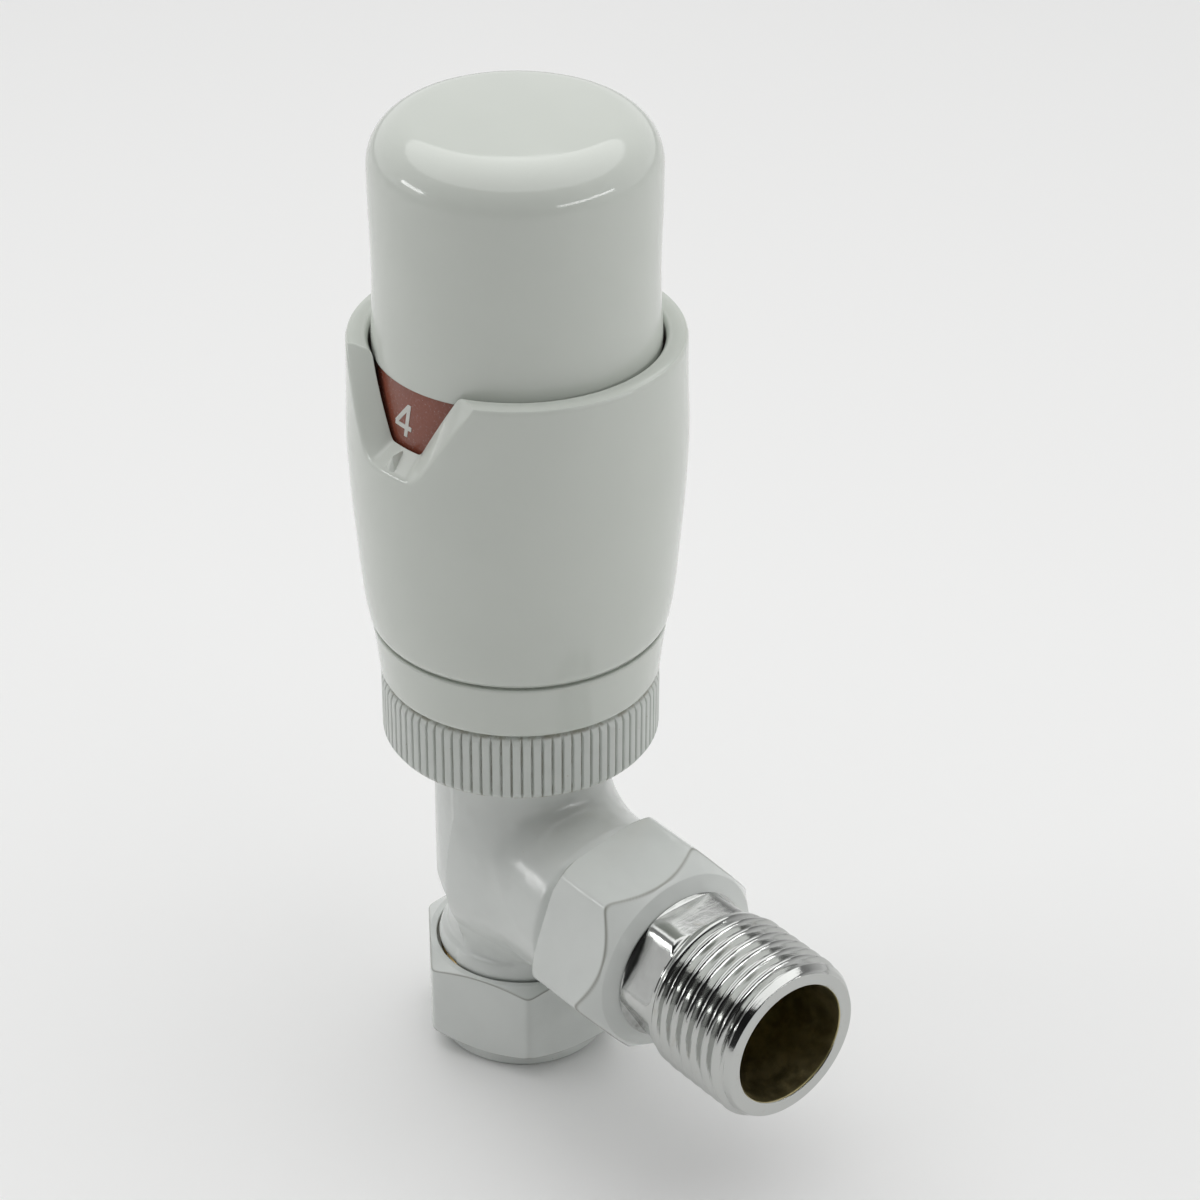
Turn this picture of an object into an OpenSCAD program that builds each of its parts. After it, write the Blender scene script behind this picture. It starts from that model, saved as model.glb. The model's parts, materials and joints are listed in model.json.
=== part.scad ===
// Thermostatic radiator valve, angle pattern: a dial head on a painted brass valve, with a
// compression nut for the pipe below and a union nut with a threaded tail to the radiator.
// Z is the axis of the valve and the head, X is the axis of the radiator tail.
// The origin is the centre of the pipe mouth, in the lower face of the compression nut.

/* [Threads] */
// Major radius of the G 1/2 thread
thread_r = 10.478; // [10.3:0.001:10.6]
// Radial gap of every thread and sliding fit
fit_gap = 0.05; // [0.02:0.01:0.1]

/* [Pipe side] */
// Outer radius of the pipe socket, for a 15 mm tube
pipe_r = 7.6; // [7.55:0.01:7.65]
// Height of the compression nut
pipe_nut_h = 13.6; // [13:0.1:14]
// Width across flats of both nuts
nut_af = 24; // [23.5:0.1:24.5]
// Angle of the compression nut's corners about Z
pipe_nut_turn = 24.5; // [0:0.5:60]

/* [Valve body] */
// Radius of the neck under the head
neck_r = 10.84; // [10.6:0.01:11.2]
// Radius of the waist above the compression nut
waist_r = 9.6; // [9.4:0.05:9.9]
// Height of the radiator outlet's axis
outlet_z = 26.8; // [26:0.1:28]
// Radius of the outlet boss
boss_r = 11.2; // [10.9:0.1:11.6]
// Height of the valve seat
seat_z = 21; // [20.6:0.1:21.2]

/* [Radiator tail] */
// Length from the valve axis to the tail's open end
tail_end_x = 50.6; // [49:0.1:52]
// Inner radius of the tail
tail_bore_r = 7.75; // [7.4:0.05:8]
// Angle of the union nut's corners about X
union_nut_turn = 12; // [0:1:60]
// Width across flats of the tail's spanner hexagon
tail_af = 17.5; // [17.2:0.1:17.6]

/* [Thermostatic head] */
// Height of the top of the dial cap
head_top_z = 127; // [124:0.5:130]
// Outer radius of the dial cap at its upper edge
cap_r = 16.7; // [16.4:0.05:16.9]
// Largest outer radius of the sleeve
sleeve_r = 20.05; // [19.8:0.05:20.2]
// Height of the sleeve's rim
rim_z = 99.8; // [99:0.1:101]
// Direction of the window and pointer about Z
window_turn = -86; // [-180:1:180]
// Angle of the numeral in the window from the pointer
dial_offset = -3.5; // [-5:0.5:5]
// Number of ribs on the knurled nut
rib_count = 86; // [60:2:100]
// Outer radius of the knurled nut
knurl_r = 17; // [16.8:0.05:17.2]

/* [Hidden] */
$fn = 64;
eps = 0.01;
thread_hole_r = thread_r + fit_gap;

// Heights of the head's joints with the valve
body_top_z = 51.6;
nut_z0 = 45.4;
nut_z1 = 54.4;
lip_z = 53.2;
base_z = 54.55;
base_top_z = 61.7;
seam_z = 62.2;

// M30 thread between the valve and the head
head_thread_r = 14.95;
hub_r = 13.5;
hub_hole_r = 11.6;

// Ring of the union nut that turns on the tail's collar
nut_lip_r = 9.05;

// Moving pieces inside the valve
plug_r = 6.6;
plug_z = seat_z + 2.42;
stem_r = 1.5;
pin_r = 2;
stem_top_z = 50;
pin_top_z = 59.6;
collar_z = 41;
chamber_r = 8.2;
insert_r = 9;
insert_z0 = 33.6;
spigot_hole_r = 7.05;
gland_z = 49.4;

// Sensor and its carrier in the head
tube_r = 14.4;
carrier_r = 12.55;
carrier_z0 = 63;
carrier_z1 = 112;
capsule_r = 10.6;
capsule_z0 = 68;
capsule_z1 = 100;
key_count = 4;
key_w = 3;
key_z0 = 98;
key_z1 = 111;

// Dial cap, scale band and sleeve
skirt_z0 = 68;
skirt_r = 16.1;
band_z0 = 86;
band_z1 = 98.3;
band_low_r = 16.85;
band_high_r = 16.45;
cap_foot_r = 16.8;
cap_waist_r = 16.5;
cap_waist_z = 107.5;
sleeve_hole_r = 17.35;
spigot_r = 16.9;
number_step = 60;
digit_h = 4.2;
digit_z = 91.9;
digit_slant = 0.16;
digit_line = 0.56;
digit_depth = 0.05;

// Window in the sleeve: its foot's height and half width, and its half width at the rim
window_low = 88.2;
window_half = 5.2;
window_top = 12;
window_deep_x = 15;
window_deep_low = 92;
window_deep_half = 1.2;
window_deep_top = 6.8;

hex_to_corner = 1 / cos(30);

// ---- Shared shapes -------------------------------------------------------------------

module along_x(z = outlet_z) {
    translate([0, 0, z]) rotate([0, 90, 0]) children();
}

// Round rod, or the cutter of a round hole, from z0 to z1
module rod(r, z0, z1) {
    translate([0, 0, z0]) cylinder(r = r, h = z1 - z0);
}

// Plain tube from z0 to z1
module ring(r_in, r_out, z0, z1) {
    translate([0, 0, z0]) difference() {
        cylinder(r = r_out, h = z1 - z0);
        translate([0, 0, -1]) cylinder(r = r_in, h = z1 - z0 + 2);
    }
}

// Hexagonal prism across flats af, its corners turned by turn
module hex_prism(af, z0, z1, turn = 0) {
    translate([0, 0, z0]) rotate(turn)
        cylinder(r = af / 2 * hex_to_corner, h = z1 - z0, $fn = 6);
}

// Solid of revolution from [radius, height] points
module turned(points) {
    rotate_extrude() polygon(points);
}

module torus(r_mid, r_wire, z) {
    rotate_extrude() translate([r_mid, z]) circle(r = r_wire, $fn = 32);
}

// Closed turns of a compression spring, as one tube swept along a helix
module spring(r_mid, r_wire, z0, z1, turns, sides = 8, steps = 14) {
    count = turns * steps;
    points = [
        for (i = [0:count]) let (
            spin = 360 * i / steps,
            z = z0 + r_wire + (z1 - z0 - 2 * r_wire) * i / count
        ) for (k = [0:sides - 1]) let (
            r = r_mid + r_wire * cos(360 * k / sides)
        ) [r * cos(spin), r * sin(spin), z + r_wire * sin(360 * k / sides)]
    ];
    walls = [
        for (i = [0:count - 1]) for (k = [0:sides - 1]) let (
            a = i * sides + k,
            b = i * sides + (k + 1) % sides
        ) each [[a, b, b + sides], [a, b + sides, a + sides]]
    ];
    caps = [
        [for (k = [sides - 1:-1:0]) k],
        [for (k = [0:sides - 1]) count * sides + k]
    ];
    polyhedron(points = points, faces = concat(walls, caps), convexity = 10);
}

// ---- Pipe side -----------------------------------------------------------------------

module compression_nut() {
    corner_r = nut_af / 2 * hex_to_corner;
    color([0.86, 0.87, 0.85]) difference() {
        union() {
            intersection() {
                hex_prism(nut_af, 2.2, pipe_nut_h, pipe_nut_turn);
                turned([
                    [0, 2.2], [11.6, 2.2], [12.2, 2.5], [corner_r, 3.2], [corner_r, 12.6],
                    [12, pipe_nut_h - 0.1], [11.9, pipe_nut_h], [0, pipe_nut_h]
                ]);
            }
            turned([[0, 0], [10.7, 0], [11, 0.4], [11.3, 2.6], [0, 2.6]]);
        }
        translate([0, 0, -1]) cylinder(r = pipe_r, h = 6);
        turned([
            [0, 3.3], [8.7, 3.3], [thread_hole_r, 5], [thread_hole_r, 12.3],
            [11.05, 12.7], [11.05, 15], [0, 15]
        ]);
    }
}

module olive() {
    color([0.80, 0.66, 0.36]) turned([
        [pipe_r, 3.4], [8.4, 3.4], [8.9, 4.2], [8.9, 6], [7.8, 8], [pipe_r, 8]
    ]);
}

// ---- Valve body ----------------------------------------------------------------------

module valve_body() {
    color([0.86, 0.87, 0.85]) difference() {
        union() {
            turned([
                [0, 6.2], [thread_r - 0.6, 6.2], [thread_r, 6.8], [thread_r, 12.2],
                [9.7, 12.4], [9.7, 13], [10.5, 13.1], [10.7, 13.4], [10.7, 15],
                [10.4, 15.4], [waist_r, 15.6], [waist_r, 20.2], [9.9, 21.4],
                [10.4, 22.6], [neck_r, 23.8], [neck_r, 45.2], [13.8, 46.8],
                [head_thread_r, 47], [head_thread_r, body_top_z - 0.5],
                [head_thread_r - 0.5, body_top_z], [0, body_top_z]
            ]);
            along_x() turned([
                [0, 0], [boss_r, 0], [boss_r, 16.4], [10.6, 17.4], [9.8, 17.8], [9.8, 18.5],
                [thread_r, 18.9], [thread_r, 22], [thread_r - 0.5, 22.5], [0, 22.5]
            ]);
        }
        // Olive cone, pipe socket, way up to the seat
        turned([
            [0, 5], [9, 5], [9, 6.2], [pipe_r, 8.6], [pipe_r, 16.5], [6, 16.5],
            [5, 18], [5, seat_z + 1], [0, seat_z + 1]
        ]);
        // Chamber around the plug, with the seat left standing as a lip
        turned([
            [5.6, seat_z], [6.4, seat_z - 0.7], [chamber_r, seat_z - 0.7], [chamber_r, insert_z0],
            [insert_r, insert_z0], [insert_r, body_top_z + 1], [0, body_top_z + 1], [0, seat_z],
            [5.6, seat_z]
        ]);
        // Way out to the radiator, with the socket that the tail's spigot slides into
        along_x() turned([
            [0, 0], [6, 0], [6, 18.8], [spigot_hole_r, 18.8], [spigot_hole_r, 24], [0, 24]
        ]);
    }
}

module insert_housing() {
    skin_r = insert_r - fit_gap;
    color([0.80, 0.66, 0.36]) difference() {
        union() {
            turned([
                [0, insert_z0], [7.8, insert_z0], [7.8, 35], [7.4, 35], [7.4, 37.2],
                [skin_r, 37.2], [skin_r, body_top_z + 0.02], [10.8, body_top_z + 0.02],
                [10.8, 52.2], [0, 52.2]
            ]);
            hex_prism(18.4, 52.1, 55, 15);
        }
        translate([0, 0, insert_z0 - 1]) cylinder(r = stem_r + fit_gap, h = 10);
        rod(5.2, 35.4, gland_z - 0.6);
        rod(5.5, gland_z - 0.7, 56);
    }
}

module insert_oring() {
    color([0.08, 0.08, 0.08]) torus(8.2, 0.79, 36.1);
}

module gland_nut() {
    color([0.80, 0.66, 0.36]) difference() {
        union() {
            rod(5.45, gland_z - 0.4, 55.1);
            hex_prism(11, 55.02, 56.9);
        }
        rod(pin_r + fit_gap, gland_z - 2, 60);
        rod(3.2, 52.4, 54.2);
    }
}

module stem_oring() {
    color([0.08, 0.08, 0.08]) torus(2.62, 0.55, 53.3);
}

// ---- Moving pieces in the valve ------------------------------------------------------

module push_pin() {
    color([0.82, 0.82, 0.80]) turned([
        [0, stem_top_z], [pin_r, stem_top_z], [pin_r, pin_top_z - 0.4],
        [pin_r - 0.4, pin_top_z], [0, pin_top_z]
    ]);
}

module valve_stem() {
    color([0.75, 0.75, 0.74]) turned([
        [0, plug_z + 0.4], [stem_r, plug_z + 0.4], [stem_r, collar_z], [4.6, collar_z],
        [4.6, collar_z + 1], [stem_r, collar_z + 1], [stem_r, stem_top_z], [0, stem_top_z]
    ]);
}

module return_spring() {
    color([0.70, 0.71, 0.72])
        spring(r_mid = 3.6, r_wire = 0.4, z0 = 35.42, z1 = collar_z - 0.02, turns = 5);
}

module plug_holder() {
    color([0.80, 0.66, 0.36]) difference() {
        turned([
            [0, plug_z + 1.6], [plug_r, plug_z + 1.6], [plug_r, plug_z + 3],
            [4, plug_z + 4], [0, plug_z + 4]
        ]);
        rod(stem_r, plug_z, plug_z + 6);
    }
}

module valve_plug() {
    color([0.10, 0.10, 0.10]) ring(stem_r, plug_r, plug_z, plug_z + 1.6);
}

// ---- Radiator side -------------------------------------------------------------------

module union_nut() {
    back_x = 18.4;
    front_x = 31;
    corner_r = nut_af / 2 * hex_to_corner;
    color([0.86, 0.87, 0.85]) along_x() difference() {
        intersection() {
            rotate(90 + union_nut_turn) hex_prism(nut_af, back_x, front_x);
            turned([
                [0, back_x], [11.9, back_x], [12.4, back_x + 0.2], [corner_r, back_x + 1.4],
                [corner_r, 27], [12, 29.4], [11.55, 30.1], [nut_lip_r, front_x], [0, front_x]
            ]);
        }
        rod(thread_hole_r, back_x - 1, 27.2);
        turned([[0, back_x - 1], [11, back_x - 1], [11, back_x + 0.2], [10.5, back_x + 0.7], [0, 20]]);
        rod(nut_lip_r, 27, front_x + 1);
    }
}

module radiator_tail() {
    hex_x0 = 31.05;
    hex_x1 = 36.3;
    face_x = 22.55;
    collar_r = nut_lip_r - fit_gap;
    color([0.80, 0.81, 0.82]) along_x() difference() {
        union() {
            // Spigot, flange, snap ring groove, and the collar that the nut turns on
            turned([
                [0, 19], [6.7, 19], [7, 19.3], [7, 20.2], [5.9, 20.2], [5.9, 21.5], [7, 21.5],
                [7, face_x], [8.9, face_x], [8.9, 25.3], [8.3, 25.3], [8.3, 27.05],
                [collar_r, 27.05], [collar_r, hex_x0], [0, hex_x0]
            ]);
            intersection() {
                hex_prism(tail_af, hex_x0 - eps, hex_x1, 30);
                rod(9.75, hex_x0 - 0.5, hex_x1 + 1);
            }
            // Threaded end
            turned([
                [0, hex_x1 - 1.5], [8.7, hex_x1 - 1.5], [9.3, hex_x1 - 0.3],
                [10, hex_x1 + 0.1], [thread_r, hex_x1 + 0.7], [thread_r, tail_end_x - 1.6],
                [9.5, tail_end_x], [0, tail_end_x]
            ]);
        }
        rod(tail_bore_r, 25.6, tail_end_x + 1);
        turned([[0, 18], [5, 18], [5, 24], [tail_bore_r, 26], [0, 26]]);
        turned([
            [0, tail_end_x - 0.3], [tail_bore_r - eps, tail_end_x - 0.3],
            [tail_bore_r + 0.2, tail_end_x + 0.1], [0, tail_end_x + 0.1]
        ]);
    }
}

module tail_snap_ring() {
    color([0.62, 0.63, 0.65]) along_x() difference() {
        ring(8.32, 10.3, 25.35, 26.95);
        translate([0, -1.2, 25]) cube([12, 2.4, 3]);
    }
}

module tail_oring() {
    color([0.08, 0.08, 0.08]) along_x() torus(6.45, 0.54, 20.85);
}

// ---- Thermostatic head ---------------------------------------------------------------

// Outline of the knurl: flat ribs with narrow V grooves
function knurl_outline(r, depth) = [
    for (i = [0:rib_count - 1]) let (
        pitch = 360 / rib_count,
        a = i * pitch
    ) each [
        [r * cos(a - 0.34 * pitch), r * sin(a - 0.34 * pitch)],
        [r * cos(a + 0.34 * pitch), r * sin(a + 0.34 * pitch)],
        [(r - depth) * cos(a + 0.5 * pitch), (r - depth) * sin(a + 0.5 * pitch)]
    ]
];

module knurled_nut() {
    color([0.84, 0.86, 0.84]) difference() {
        intersection() {
            translate([0, 0, nut_z0]) linear_extrude(nut_z1 - nut_z0)
                polygon(knurl_outline(knurl_r, 0.42));
            turned([
                [0, nut_z0], [15.9, nut_z0], [16.5, nut_z0 + 0.3], [knurl_r + eps, nut_z0 + 1.2],
                [knurl_r + eps, nut_z1 - 0.5], [16.5, nut_z1], [0, nut_z1]
            ]);
        }
        rod(head_thread_r + fit_gap, nut_z0 - 1, lip_z);
        turned([[0, 44], [15.6, 44], [15.6, nut_z0 + 0.2], [14.9, nut_z0 + 0.9], [0, 46.3]]);
        rod(hub_r + fit_gap, lip_z - 1, nut_z1 + 1);
    }
}

module retaining_clip() {
    color([0.62, 0.63, 0.65]) difference() {
        ring(12.92, 14.5, 52.35, 53.05);
        translate([0, -1.5, 52]) cube([16, 3, 2]);
    }
}

module head_base() {
    color([0.86, 0.87, 0.85]) turned([
        [hub_hole_r, 51.66], [hub_r, 51.66], [hub_r, 52.3], [12.9, 52.3], [12.9, 53.1],
        [hub_r, 53.1], [hub_r, base_z], [16.3, base_z], [16.8, 54.7], [17.02, 55.2],
        [17.4, 58.4], [17.8, base_top_z], [spigot_r, base_top_z], [spigot_r, 66],
        [15.5, 66], [15.5, 57], [tube_r, 57], [tube_r, 69.9], [14, 70.1], [14, 71.9],
        [tube_r, 72.1], [tube_r, 82], [12.6, 82], [12.6, 57], [hub_hole_r, 56]
    ]);
}

// Outer and inner line of the sleeve, from the seam to the rim
module sleeve_section() {
    polygon([
        [spigot_r + fit_gap, seam_z], [17.8, seam_z], [18, 62.6], [18.33, 64], [18.64, 66],
        [19.02, 70], [19.34, 74], [19.65, 78], [19.9, 82], [sleeve_r, 87],
        [sleeve_r, 89.5], [19.9, 92], [19.78, 96], [19.74, rim_z - 0.5],
        [19.6, rim_z - 0.12], [19.35, rim_z], [17.6, rim_z], [sleeve_hole_r, rim_z - 0.3],
        [sleeve_hole_r, 69],
        [spigot_r + fit_gap, 66.6]
    ]);
}

// One end of the window's cutter: a trapezium that stands across X at distance x
module window_outline(x, low, low_half, top_half) {
    top = rim_z + 1;
    translate([x, 0, 0]) rotate([90, 0, 90]) linear_extrude(eps)
        polygon([[-low_half, low], [low_half, low], [top_half, top], [-top_half, top]]);
}

// Cutter that widens outwards and leaves the window with bevelled sides
module window_cutter() {
    hull() {
        window_outline(window_deep_x, window_deep_low, window_deep_half, window_deep_top);
        window_outline(sleeve_r + 0.5, window_low, window_half, window_top);
    }
}

module outer_sleeve() {
    color([0.86, 0.87, 0.85]) rotate(window_turn) union() {
        difference() {
            rotate_extrude() sleeve_section();
            window_cutter();
        }
        // Pointer under the window: a ridge that widens towards its foot
        polyhedron(
            points = [
                [17.4, 0, 90.3], [19.3, 0, 90.1], [17.8, -0.9, 87], [17.8, 0.9, 87],
                [sleeve_r + 0.04, 0, 87.6]
            ],
            faces = [[0, 1, 2], [1, 4, 2], [0, 3, 1], [1, 3, 4], [2, 4, 3], [0, 2, 3]]
        );
    }
}

module dial_cap() {
    edge = 5.6;
    inner_edge = 5;
    roof = 2.2;
    hole_r = tube_r + fit_gap;
    color([0.86, 0.87, 0.85]) union() {
        rotate_extrude() polygon(concat(
            [
                [hole_r, skirt_z0], [skirt_r, skirt_z0], [skirt_r, band_z1],
                [cap_foot_r, band_z1], [cap_foot_r, 100], [cap_foot_r - 0.16, 103],
                [cap_waist_r, cap_waist_z], [cap_waist_r + 0.06, 112], [cap_r - 0.02, 117]
            ],
            [for (k = [0:12]) let (a = 90 * k / 12)
                [cap_r - edge + edge * cos(a), head_top_z - 0.5 - edge + edge * sin(a)]],
            [[0, head_top_z], [0, head_top_z - roof]],
            [for (k = [0:8]) let (a = 90 - 90 * k / 8) [
                hole_r - inner_edge + inner_edge * cos(a),
                head_top_z - roof - 0.5 - inner_edge + inner_edge * sin(a)
            ]],
            [[hole_r, 72.5], [hole_r, 71.8], [14.05, 71.6], [14.05, 70.4], [hole_r, 70.2]]
        ));
        for (k = [0:key_count - 1]) for (side = [-1, 1])
            rotate(360 * k / key_count + 45)
                translate([12.9, side * (key_w / 2 + 0.1 + 0.6) - 0.6, 92])
                    cube([1.9, 1.2, 24]);
    }
}

module scale_band() {
    color([0.55, 0.20, 0.15]) turned([
        [skirt_r, band_z0], [band_low_r - 0.1, band_z0], [band_low_r, band_z0 + 0.3],
        [band_high_r, band_z1 - 0.02], [skirt_r, band_z1 - 0.02]
    ]);
}

// ---- Numerals: strokes of one width in a field digit_h high, centred on x = 0 ----------

module bar(p, q) {
    along = atan2(q[1] - p[1], q[0] - p[0]);
    translate(p) rotate(along)
        translate([0, -digit_line / 2]) square([norm(q - p), digit_line]);
}

// Part of a circle, from angle a0 to a1, as a stroke
module bow(centre, r, a0, a1) {
    steps = 10;
    polygon([
        for (k = [0:steps]) let (a = a0 + (a1 - a0) * k / steps)
            centre + (r + digit_line / 2) * [cos(a), sin(a)],
        for (k = [steps:-1:0]) let (a = a0 + (a1 - a0) * k / steps)
            centre + (r - digit_line / 2) * [cos(a), sin(a)]
    ]);
}

module digit(n) {
    t = digit_line / 2;
    w = 1.25;
    h = digit_h;
    if (n == 0) {
        bow([0, h - w], w - t, 0, 180);
        bow([0, w], w - t, 180, 360);
        bar([t - w, w - eps], [t - w, h - w + eps]);
        bar([w - t, w - eps], [w - t, h - w + eps]);
    }
    if (n == 1) {
        bar([0.2, 0], [0.2, h]);
        bar([-0.75, h - 0.95], [0.15, h - 0.2]);
    }
    if (n == 2) {
        bow([0, h - w], w - t, -25, 165);
        bar([-w + 0.2, 0.25], [w - 0.42, h - w - 0.45]);
        bar([-w, t], [w, t]);
    }
    if (n == 3) {
        bow([0, h - 1.12], 1.12 - t, -90, 155);
        bow([0, w], w - t, -155, 90);
    }
    if (n == 4) {
        bar([0.55, 0], [0.55, h]);
        bar([-1.55, 1.2], [1.35, 1.2]);
        bar([-1.42, 1.3], [0.5, h - 0.2]);
    }
    if (n == 5) {
        bow([0, w + 0.05], w - t, -155, 125);
        bar([-0.95, 1.9], [-0.5, 2.24]);
        bar([-0.92, 1.75], [-0.78, h]);
        bar([-0.8, h - t], [w - 0.1, h - t]);
    }
}

module scale_numerals() {
    slant = [[1, digit_slant, 0, 0], [0, 1, 0, 0], [0, 0, 1, 0], [0, 0, 0, 1]];
    color([0.88, 0.88, 0.84]) intersection() {
        turned([
            [band_low_r, band_z0 + 0.3], [band_low_r + digit_depth, band_z0 + 0.3],
            [band_high_r + digit_depth, band_z1 - 0.02], [band_high_r, band_z1 - 0.02]
        ]);
        for (n = [0:5])
            rotate(window_turn + dial_offset + (4 - n) * number_step + 90)
                translate([0, -14, digit_z]) rotate([90, 0, 0])
                    linear_extrude(5) multmatrix(slant) digit(n);
    }
}

module sensor_carrier() {
    color([0.90, 0.90, 0.88]) union() {
        difference() {
            rod(carrier_r, carrier_z0, carrier_z1);
            rod(capsule_r + 0.2, 65, carrier_z1 - 2);
            rod(4, carrier_z0 - 1, 66);
            rod(4, carrier_z1 - 3, carrier_z1 + 1);
        }
        for (k = [0:key_count - 1])
            rotate(360 * k / key_count + 45)
                translate([carrier_r - 0.5, -key_w / 2, key_z0])
                    cube([14.2 - carrier_r + 0.5, key_w, key_z1 - key_z0]);
    }
}

module overtravel_spring() {
    color([0.70, 0.71, 0.72])
        spring(r_mid = 7.5, r_wire = 0.7, z0 = capsule_z1 + 0.02, z1 = carrier_z1 - 2.02, turns = 4);
}

module sensor_capsule() {
    color([0.80, 0.66, 0.36]) difference() {
        turned([
            [0, capsule_z0 - 2.9], [6, capsule_z0 - 2.9], [6, capsule_z0],
            [capsule_r - 0.8, capsule_z0], [capsule_r, capsule_z0 + 0.8],
            [capsule_r, capsule_z1 - 0.8], [capsule_r - 0.8, capsule_z1], [0, capsule_z1]
        ]);
        rod(3.05, capsule_z0 - 4, 76);
        rod(2, 75, 79);
        rod(capsule_r - 1, 78, capsule_z1 - 1);
    }
}

module sensor_piston() {
    color([0.82, 0.82, 0.80]) turned([
        [0, pin_top_z + 0.01], [2.6, pin_top_z + 0.01], [3, pin_top_z + 0.4], [3, 75.9],
        [0, 75.9]
    ]);
}

compression_nut();
olive();
valve_body();
insert_housing();
insert_oring();
gland_nut();
stem_oring();
push_pin();
valve_stem();
return_spring();
plug_holder();
valve_plug();
union_nut();
radiator_tail();
tail_snap_ring();
tail_oring();
knurled_nut();
retaining_clip();
head_base();
outer_sleeve();
dial_cap();
scale_band();
scale_numerals();
sensor_carrier();
overtravel_spring();
sensor_capsule();
sensor_piston();
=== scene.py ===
"""Looks of the thermostatic radiator valve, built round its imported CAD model.

Lengths in this script are millimetres unless a name says otherwise; meshes, lights and the
camera are put into the scene in metres. Z is the axis of the valve and its head, X the axis
of the radiator tail. Places come from the boxes of the CAD nodes.
"""

import json
import math

import bmesh
import bpy
import numpy as np
from mathutils import Matrix, Vector


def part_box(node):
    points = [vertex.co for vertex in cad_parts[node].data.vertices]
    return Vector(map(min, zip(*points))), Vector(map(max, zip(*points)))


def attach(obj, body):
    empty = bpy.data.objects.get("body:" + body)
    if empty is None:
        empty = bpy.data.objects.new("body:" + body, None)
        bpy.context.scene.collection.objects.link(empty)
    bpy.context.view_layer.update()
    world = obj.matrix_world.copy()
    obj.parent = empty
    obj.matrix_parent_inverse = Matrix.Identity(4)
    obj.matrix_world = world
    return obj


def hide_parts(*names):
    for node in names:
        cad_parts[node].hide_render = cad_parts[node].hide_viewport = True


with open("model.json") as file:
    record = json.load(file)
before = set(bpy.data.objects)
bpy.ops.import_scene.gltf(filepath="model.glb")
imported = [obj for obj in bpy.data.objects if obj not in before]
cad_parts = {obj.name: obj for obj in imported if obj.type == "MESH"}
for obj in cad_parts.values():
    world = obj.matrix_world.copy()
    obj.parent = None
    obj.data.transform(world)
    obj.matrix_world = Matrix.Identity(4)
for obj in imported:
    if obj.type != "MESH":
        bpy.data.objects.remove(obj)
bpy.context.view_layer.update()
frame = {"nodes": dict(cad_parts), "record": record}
nodes = frame["nodes"]

MM = 0.001
TURN = 2 * math.pi


def span(node, axis):
    """Lowest and highest coordinate of a CAD node along an axis (0, 1 or 2)."""
    low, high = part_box(node)
    return low[axis] / MM, high[axis] / MM


# ---- Places taken from the frame ---------------------------------------------------------

pipe_nut_low, pipe_nut_top = span("compression_nut", 2)
nut_back, nut_front = span("union_nut", 0)
outlet_z = sum(span("union_nut", 2)) / 2
tail_start, tail_end = span("radiator_tail", 0)
body_low, body_top = span("valve_body", 2)
boss_end = span("valve_body", 0)[1]
knurl_low, knurl_top = span("knurled_nut", 2)
knurl_r = span("knurled_nut", 0)[1]
base_low = span("head_base", 2)[0]
sleeve_low, sleeve_top = span("outer_sleeve", 2)
sleeve_r = span("outer_sleeve", 0)[1]
cap_top = span("dial_cap", 2)[1]
cap_foot_r = span("dial_cap", 0)[1]
band_top = span("scale_band", 2)[1]

# ---- Sections ----------------------------------------------------------------------------

STRAIGHT = 1.55  # half angle, in radians, from which a corner counts as none
MAX_CUT, MAX_HOLD = 0.42, 0.46  # shares of a side that an arc, and an arc and its hold, may take


def rounded(corners, radius=0.15, steps=4, hold=0.12):
    """Points of a closed section with rounded corners, each (x, y) or (x, y, its radius).

    A point is added at hold from each end of an arc where the side beside it is long enough.
    """
    points = [np.array(corner[:2], float) for corner in corners]
    radii = [corner[2] if len(corner) > 2 else radius for corner in corners]
    count = len(points)
    out = []
    for i, here in enumerate(points):
        before = points[i - 1] - here
        after = points[(i + 1) % count] - here
        reach = [np.linalg.norm(before), np.linalg.norm(after)]
        before, after = before / reach[0], after / reach[1]
        half = math.acos(np.clip(before @ after, -1, 1)) / 2
        if half > STRAIGHT:
            out.append(here)
            continue
        cut = min(radii[i] / math.tan(half), MAX_CUT * min(reach))
        if cut + hold < MAX_HOLD * reach[0]:
            out.append(here + before * (cut + hold))
        bisector = (before + after) / np.linalg.norm(before + after)
        centre = here + bisector * cut / math.cos(half)
        arc = cut * math.tan(half)
        a0 = math.atan2(*(here + before * cut - centre)[::-1])
        a1 = math.atan2(*(here + after * cut - centre)[::-1])
        sweep = (a1 - a0 + math.pi) % TURN - math.pi
        for k in range(steps + 1):
            angle = a0 + sweep * k / steps
            out.append(centre + arc * np.array([math.cos(angle), math.sin(angle)]))
        if cut + hold < MAX_HOLD * reach[1]:
            out.append(here + after * (cut + hold))
    return np.array(out)


def spaced(points, step):
    """The same closed section, with points added so that none are further apart than step."""
    out = []
    for a, b in zip(points, np.roll(points, -1, axis=0)):
        pieces = max(1, math.ceil(np.linalg.norm(b - a) / step))
        out += [a + (b - a) * k / pieces for k in range(pieces)]
    return np.array(out)


def soft_min(a, b, width):
    """The smaller of two lengths, blended over about width where they meet."""
    gap = np.maximum(width - np.abs(a - b), 0) / width
    return np.minimum(a, b) - gap * gap * width / 4


def soft_max(a, b, width):
    """The larger of two lengths, blended in the same way."""
    return -soft_min(-a, -b, width)


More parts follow.
